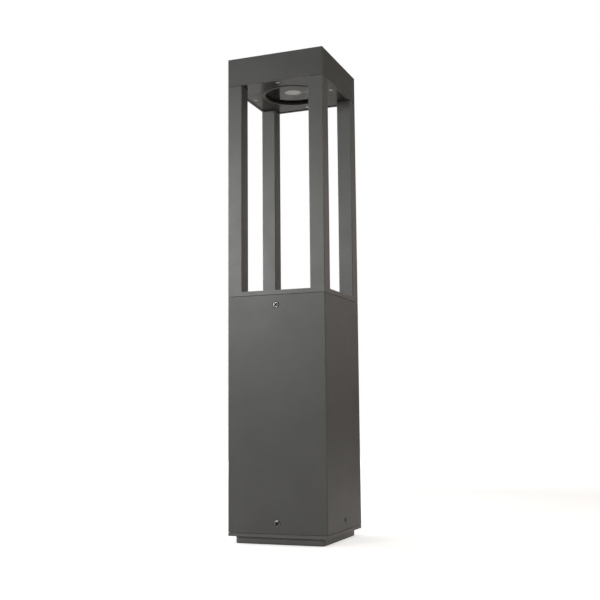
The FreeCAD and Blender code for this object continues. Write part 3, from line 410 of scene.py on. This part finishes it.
def carved(mesh, tool):
    """A mesh with another one cut out of it."""
    whole, cutter = (bpy.data.objects.new("carving", part) for part in (mesh, tool))
    for holder in (whole, cutter):
        scene.collection.objects.link(holder)
    cut = whole.modifiers.new("cut", "BOOLEAN")
    cut.object = cutter
    cut.solver = "EXACT"
    bpy.context.view_layer.update()
    graph = bpy.context.evaluated_depsgraph_get()
    result = bpy.data.meshes.new_from_object(whole.evaluated_get(graph))
    for holder in (whole, cutter):
        bpy.data.objects.remove(holder)
    return result


def joined(name, placed):
    """One smooth-shaded mesh from (mesh, matrix) pairs, sharp at its real edges."""
    shape = bmesh.new()
    for mesh, place in placed:
        start = len(shape.verts)
        shape.from_mesh(mesh)
        shape.verts.ensure_lookup_table()
        bmesh.ops.transform(shape, matrix=place, verts=shape.verts[start:])
    result = bpy.data.meshes.new(name)
    shape.to_mesh(result)
    shape.free()
    result.materials.clear()
    result.shade_smooth()
    result.set_sharp_from_angle(angle=math.radians(32))
    return result


def add_piece(name, placed, *replaced, finish=None):
    """A detailed piece that stands for CAD nodes and moves with their body."""
    mesh = joined(name, placed)
    mesh.materials.append(finish or finishes[slot_of[replaced[0]]])
    piece = bpy.data.objects.new(name, mesh)
    scene.collection.objects.link(piece)
    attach(piece, body_of[replaced[0]])
    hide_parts(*replaced)
    return piece


# ----------------------------------------------------------------------------
# Screws and nuts
# ----------------------------------------------------------------------------
Fastener = namedtuple("Fastener", "place radius reach shank rise")


def frame_of(origin, axis, across):
    """A placement whose Z runs along axis and whose X runs along across."""
    side = axis.cross(across)
    turn = Matrix((across, side, axis)).transposed().to_4x4()
    return Matrix.Translation(origin) @ turn


def measured_screw(points):
    """A CAD screw's place (Z points out of its head), its radii, its length and its head's height."""
    low, high = corners_of(points)
    long = max(range(3), key=lambda i: (round((high - low)[i], 5), i))
    middle = (low + high) / 2

    def radius(point):
        away = point - middle
        away[long] = 0
        return away.length

    head = max(map(radius, points))
    outward = 1 if max(points, key=radius)[long] > middle[long] else -1
    face = (high if outward > 0 else low)[long]
    shank = max(radius(point) for point in points if abs(point[long] - face) > (high - low)[long] / 2)
    rise = min(abs(point[long] - face) for point in points if abs(radius(point) - shank) < 0.02 * MM)
    origin = middle.copy()
    origin[long] = face
    axis, across = Vector((0, 0, 0)), Vector((0, 0, 0))
    axis[long] = outward
    across[(long + 1) % 3] = 1
    return Fastener(frame_of(origin, axis, across), head, (high - low)[long], shank, rise)


def pitch_of(radius):
    """The coarse pitch of an M3 or an M4 thread."""
    return 0.5 * MM if radius < 1.8 * MM else 0.7 * MM


def thread(radius, pitch, start, end, inward=1):
    """(radius, height) rows of a screw thread between two heights; inward is -1 in a nut."""
    rows_per_turn, depth, fade = 6, 0.55 * pitch, 0.8 * pitch
    count = max(2, round(abs(end - start) / pitch * rows_per_turn))
    rows = []
    for row in range(count + 1):
        height = start + (end - start) * row / count
        run_in = min(1, abs(height - start) / fade, abs(height - end) / fade)

        def reach(angle, height=height, run_in=run_in):
            turn = (height / pitch - angle / (2 * math.pi)) % 1
            valley = min(1, max(0, 1.25 - abs(2 * turn - 1) * 1.5))
            return radius - inward * depth * valley * run_in

        rows.append((reach, height))
    return rows


def cross_bit(reach, width, depth):
    """The driver's tip that a cross recess is cut with, standing over the head's face."""
    tapers = ((0.3 * reach, 1.12), (0, 1.0), (-depth, 0.5), (-1.3 * depth, 0.12))
    rings = []
    for height, share in tapers:
        tip, side = reach * share, width / 2 * (0.5 + share / 2) * min(1, 4 * share)
        quarter = [(tip, -side), (tip, side), (side, side)]
        ring = []
        for _ in range(4):
            ring += [(x, y, height) for x, y in quarter]
            quarter = [(-y, x) for x, y in quarter]
        rings.append(ring)
    return skin(rings)


def screw_mesh(screw):
    """A cross-recess screw with a rolled thread, its head's face at the origin."""
    head, shank, rise, length = screw.radius, screw.shank, screw.rise, screw.reach
    is_flat = rise < 0.6 * head
    if is_flat:
        top = [(0.93 * head, 0), (0.98 * head, -0.03 * head), (head, -0.08 * head)]
    else:
        steps = [math.radians(angle) for angle in (75, 60, 45, 30, 15, 0)]
        crown = 0.5 * rise
        top = [(head * math.cos(a) ** 0.7, crown * (math.sin(a) - 1)) for a in steps]
        top += [(head, -0.92 * rise), (0.96 * head, -rise)]
    neck = [(1.06 * shank, -rise), (shank, -rise - 0.1 * shank)]
    rows = thread(shank, pitch_of(shank), -rise - 0.2 * shank, -length + 0.35 * shank)
    tip = [(0.75 * shank, -length + 0.06 * shank), (0.68 * shank, -length)]
    mesh = turned([*top, *neck, *rows, *tip], 36)
    reach, width = (0.68, 0.33) if is_flat else (0.56, 0.24)
    return carved(mesh, cross_bit(reach * head, width * head, 0.42 * head))


def add_screws():
    """Detailed screws where the CAD has plain ones, the recesses turned by different angles."""
    diagonal, wander = 45, 9
    meshes = {}
    for name in nodes:
        if not name.endswith(("_screws", "_screw")) or name == "terminal_screws":
            continue
        placed = []
        for count, points in enumerate(solids_of(name)):
            screw = measured_screw(points)
            key = tuple(round(value / MM, 2) for value in screw[1:])
            if key not in meshes:
                meshes[key] = screw_mesh(screw)
            angle = diagonal + wander * ((count + 1) % 3 - 1)
            turn = Matrix.Rotation(math.radians(angle), 4, "Z")
            placed.append((meshes[key], screw.place @ turn))
        add_piece(name + "_detailed", placed, name)


def nut_mesh(corner, height, bore):
    """A hexagon nut with turned faces and a threaded bore, its middle at the origin."""
    flat = corner * math.cos(math.pi / 6)
    face = 0.95 * flat

    def hexagon(angle):
        return flat / math.cos(angle % (math.pi / 3) - math.pi / 6)

    def chamfer(sign):
        return lambda angle: sign * (height / 2 - (hexagon(angle) - face) * math.tan(math.radians(30)))

    lead_in = 0.08 * bore
    inside = thread(bore, pitch_of(bore), height / 2 - lead_in, lead_in - height / 2, -1)
    outside = [(face, height / 2), (hexagon, chamfer(1)), (hexagon, chamfer(-1)), (face, -height / 2)]
    mouths = [(bore + lead_in, -height / 2), (bore + lead_in, height / 2)]
    return turned([*outside, mouths[0], *reversed(inside), mouths[1]], 72, closed=True)


def add_nuts():
    """Detailed nuts behind the column's tabs and in the junction box."""
    for name in ("foot_screw_nuts", "head_screw_nuts", "gland_lock_nut"):
        placed = []
        for points in solids_of(name):
            low, high = corners_of(points)
            size, middle = high - low, (low + high) / 2
            thin, long = (pick(range(3), key=lambda i: size[i]) for pick in (min, max))
            across_axes = [i for i in range(3) if i != thin]
            bore = min(math.hypot(*((point - middle)[i] for i in across_axes)) for point in points)
            axis, across = Vector((0, 0, 0)), Vector((0, 0, 0))
            axis[thin], across[long] = 1, 1
            mesh = nut_mesh(size[long] / 2, size[thin], bore)
            placed.append((mesh, frame_of(middle, axis, across)))
        add_piece(name + "_detailed", placed, name)


# ----------------------------------------------------------------------------
# Window and lamp
# ----------------------------------------------------------------------------
def add_bezel():
    """The window's ring, with a rolled lip under the plate and a groove round its inside."""
    low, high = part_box("window_bezel")
    outer = high.x
    points = solids_of("window_bezel")[0]
    inner = min(point.xy.length for point in points)
    sleeve = max(point.xy.length for point in points if point.z > high.z - 0.1 * MM)
    roll, lip = 0.45 * MM, 0.9 * MM
    steps = [math.radians(angle) for angle in range(0, 91, 15)]
    outside = [(outer - roll + roll * math.sin(a), low.z + roll - roll * math.cos(a)) for a in steps]
    inside = [(inner + roll - roll * math.cos(a), low.z + roll - roll * math.sin(a)) for a in steps]
    groove = [(inner, low.z + 1.4 * MM), (inner + 0.3 * MM, low.z + 1.6 * MM)]
    groove += [(inner + 0.3 * MM, low.z + 1.9 * MM), (inner, low.z + 2.1 * MM)]
    profile = [*outside, (outer, low.z + lip), (sleeve, low.z + lip), (sleeve, high.z), (inner, high.z)]
    profile += [*reversed(groove), *inside]
    mesh = turned(profile, 128, closed=True)
    painted_band = 1.6
    paint = bezel_finish(edge=outer / MM - painted_band)
    add_piece("window_bezel_detailed", [(mesh, Matrix())], "window_bezel", finish=paint)


def add_glass():
    """The pane, flat on both faces, with a polished bevel round its rim."""
    low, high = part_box("window_glass")
    rim, bevel, centre = high.x, 0.4 * MM, 0.1 * high.x
    profile = [(centre, low.z), (rim - bevel, low.z), (rim, low.z + bevel)]
    profile += [(rim, high.z - bevel), (rim - bevel, high.z), (centre, high.z)]
    add_piece("window_glass_detailed", [(turned(profile, 128), Matrix())], "window_glass")


def add_lamp():
    """Shallow domed lens with rings moulded in its face and a rounded rim."""
    low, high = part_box("lamp_lens")
    radius, ring, edge, bulge = high.x, 1.1 * MM, 1.0 * MM, 1.6 * MM
    flat, groove, bevel = 0.4 * MM, 0.06 * MM, 0.4 * MM

    def dome(reach):
        return low.z + bulge * (reach / (radius - edge)) ** 2

    face = [(0.12 * MM, dome(0))]
    for count in range(int((radius - edge - flat) / ring)):
        start = flat + count * ring
        deepest, end = start + 0.75 * ring, start + 0.8 * ring
        face += [(start, dome(start)), (deepest, dome(deepest) + groove), (end, dome(end))]
    rim = [
        (radius - edge + edge * math.sin(a), low.z + bulge + edge * (1 - math.cos(a)))
        for a in (math.radians(angle) for angle in range(0, 91, 15))
    ]
    body = [(radius, high.z - bevel), (radius - bevel, high.z), (0.2 * MM, high.z)]
    add_piece("lamp_lens_detailed", [(turned(face + rim + body, 96), Matrix())], "lamp_lens")


# ----------------------------------------------------------------------------
# Driver, junction box lid and gland nut
# ----------------------------------------------------------------------------
SCREW_HOLE = 1.75 * MM


def rounded_outline(half_x, half_y, corner):
    """Points round a rectangle with rounded corners, about the origin."""
    steps = 6
    points = []
    for quarter, (x, y) in enumerate(((1, 1), (-1, 1), (-1, -1), (1, -1))):
        for step in range(steps + 1):
            angle = math.pi / 2 * (quarter + step / steps)
            across = x * (half_x - corner) + corner * math.cos(angle)
            points.append((across, y * (half_y - corner) + corner * math.sin(angle)))
    return points


def grooved_outline(half_x, half_y, corner, seam):
    """A rounded outline with a groove in its left and right sides, at the seam's place."""
    depth, mouth, floor = 0.6 * MM, 0.5 * MM, 0.3 * MM
    groove = [(0, mouth), (depth, floor), (depth, -floor), (0, -mouth)]
    left = [(inset - half_x, seam + rise) for inset, rise in groove]
    right = [(half_x - inset, seam - rise) for inset, rise in groove]
    points = rounded_outline(half_x, half_y, corner)
    half = len(points) // 2
    return points[:half] + left + points[half:] + right


def lying_rod(radius, place, start, end):
    """A round rod along Y through a place, to cut a hole with."""
    rod = turned([(radius, start), (radius, end)], 32)
    lie = Matrix.Rotation(-math.pi / 2, 4, "X")
    rod.transform(Matrix.Translation((place.x, 0, place.z)) @ lie)
    return rod


def driver_case(front, back, half_x, bottom, top):
    """The driver's case: its ends rounded, and a groove in each side where the lid meets it."""
    half_y, middle = (back - front) / 2, (front + back) / 2
    corner, lid_depth = 2.5 * MM, 6 * MM
    outline = grooved_outline(half_x, half_y, corner, lid_depth - half_y)
    rounding = ((0, 0.9 * MM), (0.25 * MM, 0.3 * MM), (0.9 * MM, 0))
    levels = [(bottom + rise, inset) for rise, inset in rounding]
    levels += [(top - rise, inset) for rise, inset in reversed(rounding)]
    rings = []
    for level, inset in levels:
        share_x, share_y = 1 - inset / half_x, 1 - inset / half_y
        rings.append([(x * share_x, middle + y * share_y, level) for x, y in outline])
    return skin(rings)


def driver_rib(front, rise, half_x, level):
    """A low rib across the driver's lid, rooted inside it."""
    root, half_height, corner, taper = 1.0 * MM, 0.9 * MM, 0.8 * MM, 0.3 * MM
    rings = []
    for away, inset in ((root, 0), (-0.6 * rise, 0), (-rise, taper)):
        shape = rounded_outline(half_x - inset, half_height - inset, corner - inset)
        rings.append([(x, front + away, level + z) for x, z in shape])
    return skin(rings)


def driver_ear(front, back, half_x, start, end, screw):
    """A drilled ear between two heights, with round corners and a broken front edge."""
    corner, broken, spare = 2.0 * MM, 0.3 * MM, 2 * MM
    reach, centre = (end - start) / 2, (start + end) / 2
    rings = []
    for y, inset in ((front, broken), (front + broken, 0), (back, 0)):
        shape = rounded_outline(half_x - inset, reach - inset, corner)
        rings.append([(x, y, centre + z) for x, z in shape])
    return carved(skin(rings), lying_rod(SCREW_HOLE, screw, front - spare, back + spare))


def lead_bush(socket, top):
    """The ribbed, tapering bush round the lead where it leaves the top of the case."""
    start, end = corners_of(socket)
    radius, height = (end.x - start.x) / 2, end.z - top
    waist, root = 0.86 * radius, 0.5 * MM
    rows = [(radius, -root), (radius, 0.1 * height)]
    for turn in range(3):
        level = (0.15 + 0.27 * turn) * height
        rib = radius * (1 - 0.04 * turn)
        rows += [(waist, level), (waist, level + 0.1 * height)]
        rows += [(rib, level + 0.14 * height), (rib, level + 0.24 * height)]
    rows.append((0.8 * radius, height))
    bush = turned(rows, 32)
    bush.transform(Matrix.Translation(((start.x + end.x) / 2, (start.y + end.y) / 2, top)))
    return bush


def add_driver():
    """The driver: a two-part case with ribs, an ear at each end and the lead's bush."""
    low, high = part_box("lamp_driver")
    points = solids_of("lamp_driver")[0]
    case = [point for point in points if point.x > 0.6 * high.x]
    bottom, top = min(point.z for point in case), max(point.z for point in case)
    half_x, rib_rise = high.x, 0.5 * MM
    rib_half = half_x - 5 * MM
    rib_levels = [bottom + 14 * MM, bottom + 18 * MM, top - 18 * MM, top - 14 * MM]
    front = low.y + rib_rise
    parts = [driver_case(front, high.y, half_x, bottom, top)]
    parts += [driver_rib(front, rib_rise, rib_half, level) for level in rib_levels]

    lower, upper = sorted(
        (measured_screw(screw).place.translation for screw in solids_of("driver_screws")),
        key=lambda place: place.z,
    )
    near, root = 1 * MM, 2 * MM
    ear_front = min(point.y for point in points if point.z < bottom - near)
    ear_half = 0.5 * half_x
    parts.append(driver_ear(ear_front, high.y, ear_half, low.z, bottom + root, lower))
    parts.append(driver_ear(ear_front, high.y, ear_half, top - root, high.z, upper))

    socket = [point for point in points if point.x < -ear_half - near and point.z > top + near]
    parts.append(lead_bush(socket, top))
    add_piece("lamp_driver_detailed", [(part, Matrix()) for part in parts], "lamp_driver")


def add_box_lid():
    """The junction box's lid: rounded edge, a raised panel and a hole at each screw."""
    low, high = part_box("box_lid")
    half_x, half_z, middle = high.x, (high.z - low.z) / 2, (low.z + high.z) / 2
    thick = (high.y - low.y) / MM
    # Depth behind the front face and inset from the rim, both in millimetres.
    rim = [(thick, 0.2), (thick - 0.2, 0), (1.1, 0), (0.75, 0.1), (0.4, 0.6)]
    panel = [(0.4, 8.6), (0.3, 8.9), (0.1, 9.2), (0, 9.5)]
    rim_corner, panel_corner = 2.2, 0.8
    rings = []
    for depth, inset in rim + panel:
        corner = max(panel_corner, rim_corner - inset) * MM
        shape = rounded_outline(half_x - inset * MM, half_z - inset * MM, corner)
        rings.append([(x, low.y + depth * MM, middle + z) for x, z in shape])
    lid = skin(rings)
    for points in solids_of("box_lid_screws"):
        place = measured_screw(points).place.translation
        lid = carved(lid, lying_rod(SCREW_HOLE, place, low.y - thick * MM, high.y + thick * MM))
    add_piece("box_lid_detailed", [(lid, Matrix())], "box_lid")


def add_gland_nut():
    """The gland's nut: a turned dome under a hexagon, with a threaded bore."""
    low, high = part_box("gland_nut")
    centre_y = (low.y + high.y) / 2
    points = [point - Vector((0, centre_y, 0)) for point in solids_of("gland_nut")[0]]
    flat = high.x * math.cos(math.pi / 6)
    near = 0.1 * MM
    mouth = min(point.xy.length for point in points)
    bore = min(point.xy.length for point in points if point.z > high.z - near)
    floor = min(point.z for point in points if abs(point.xy.length - bore) < near / 2)

    def hexagon(angle):
        return flat / math.cos(angle % (math.pi / 3) - math.pi / 6)

    def blunted(share):
        return lambda angle: hexagon(angle) * share + 0.97 * flat * (1 - share)

    # Share of the flats' radius, and height above the mouth in millimetres.
    dome = [(0.62, 0), (0.78, 0.5), (0.90, 1.5), (0.97, 3.0)]
    outer = [(mouth, low.z), *((share * flat, low.z + rise * MM) for share, rise in dome)]
    outer += [(blunted(0.5), low.z + 3.6 * MM), (hexagon, low.z + 4.4 * MM)]
    outer += [(hexagon, high.z - 0.9 * MM), (blunted(0.3), high.z - 0.25 * MM), (0.95 * flat, high.z)]
    lead_in = 0.5 * MM
    outer.append((bore + lead_in, high.z))
    inside = thread(bore, 1.5 * MM, high.z - lead_in, floor + lead_in, -1)
    mesh = turned([*outer, *inside, (bore, floor), (mouth, floor)], 72, closed=True)
    add_piece("gland_nut_detailed", [(mesh, Matrix.Translation((0, centre_y, 0)))], "gland_nut")


# ----------------------------------------------------------------------------
# Stage: floor, lights, camera
# ----------------------------------------------------------------------------
def when_seen(tree, hidden, seen):
    """A strength that is seen for rays straight from the camera and hidden for all other light."""
    ray = tree.nodes.new("ShaderNodeLightPath")
    strength = tree.nodes.new("ShaderNodeMapRange")
    strength.inputs["To Min"].default_value = hidden
    strength.inputs["To Max"].default_value = seen
    tree.links.new(ray.outputs["Is Camera Ray"], strength.inputs["Value"])
    return strength.outputs["Result"]


def add_stage():
    """A pale floor that grows lighter with distance, and a pale surround."""
    reach = 14.0
    corners = [(-reach, -reach, 0), (reach, -reach, 0), (reach, reach, 0), (-reach, reach, 0)]
    mesh = bpy.data.meshes.new("floor")
    mesh.from_pydata(corners, [], [(0, 1, 2, 3)])
    floor = bpy.data.objects.new("floor", mesh)
    scene.collection.objects.link(floor)
    finish = Finish("floor", (0.90, 0.872, 0.835), 0.9, Specular_IOR_Level=0.0)
    finish.vary_colour(finish.noise(400, 3), 0.01)
    near, far, least_glow = 0.8, 1.8, 0.07
    finish.shader.inputs["Emission Color"].default_value = (1, 1, 1, 1)
    distance = finish.add("VectorMath", operation="LENGTH")
    finish.link(finish.place, distance.inputs[0])
    glow = finish.span(distance.outputs["Value"], 0.62, 1.0, near, far)
    seen = finish.join("MULTIPLY", when_seen(finish.tree, hidden=0.0, seen=1.0), glow)
    finish.link(finish.join("MAXIMUM", seen, least_glow), finish.shader.inputs["Emission Strength"])
    mesh.materials.append(finish.material)

    world = bpy.data.worlds.new("surround")
    world.use_nodes = True
    scene.world = world
    background = world.node_tree.nodes["Background"]
    background.inputs["Color"].default_value = (1, 1, 1, 1)
    strength = when_seen(world.node_tree, hidden=0.04, seen=1.0)
    world.node_tree.links.new(strength, background.inputs["Strength"])


def add_softbox(name, place, target, size, power, colour=(1, 1, 1), spread=180):
    """An area light of so many watts that faces its target; its spread is in degrees."""
    light = bpy.data.lights.new(name, "AREA")
    light.shape = "RECTANGLE"
    light.size, light.size_y = size
    light.energy = power
    light.color = colour
    light.spread = math.radians(spread)
    holder = bpy.data.objects.new(name, light)
    scene.collection.objects.link(holder)
    holder.location = place
    holder.rotation_euler = (Vector(place) - Vector(target)).to_track_quat("Z", "Y").to_euler()


def add_lights():
    """A soft key in front on the left, and weaker boxes all round it."""
    middle = (0, 0, 0.33)
    cool, warm = (0.985, 1.0, 0.985), (1.0, 0.90, 0.84)
    add_softbox("key", (-0.95, -1.6, 0.68), (0, 0, 0.38), (0.8, 0.22), 12.6, cool)
    add_softbox("left", (-2.1, 0.1, 0.7), middle, (0.8, 0.8), 15.5)
    add_softbox("rear_left", (-1.5, 1.5, 0.7), middle, (0.8, 0.8), 13)
    add_softbox("right", (2.1, 0.1, 0.95), middle, (0.8, 0.8), 12.5, warm)
    add_softbox("top", (0, 0, 2.2), middle, (1.0, 1.0), 0.9, spread=40)
    add_softbox("rear_right", (1.2, 2.0, 0.7), middle, (0.8, 0.8), 1.8, warm)


def add_camera():
    """Low in front of the right-hand corner, tilted a little upwards."""
    camera = bpy.data.objects.new("camera", bpy.data.cameras.new("camera"))
    scene.collection.objects.link(camera)
    camera.data.lens = 58.08
    camera.data.sensor_width = 36.0
    eye = (0.4456, -1.1358, 0.1505)
    turn, tilt, roll = (math.radians(angle) for angle in (21.114, 6.845, -0.51))
    aim = Matrix.Rotation(turn, 4, "Z") @ Matrix.Rotation(math.pi / 2 + tilt, 4, "X")
    aim @= Matrix.Rotation(roll, 4, "Z")
    camera.matrix_world = Matrix.Translation(eye) @ aim
    scene.camera = camera
    scene.view_settings.view_transform = "Standard"


finish_cad_nodes()
add_screws()
add_nuts()
add_bezel()
add_glass()
add_lamp()
add_driver()
add_box_lid()
add_gland_nut()
add_stage()
add_lights()
add_camera()
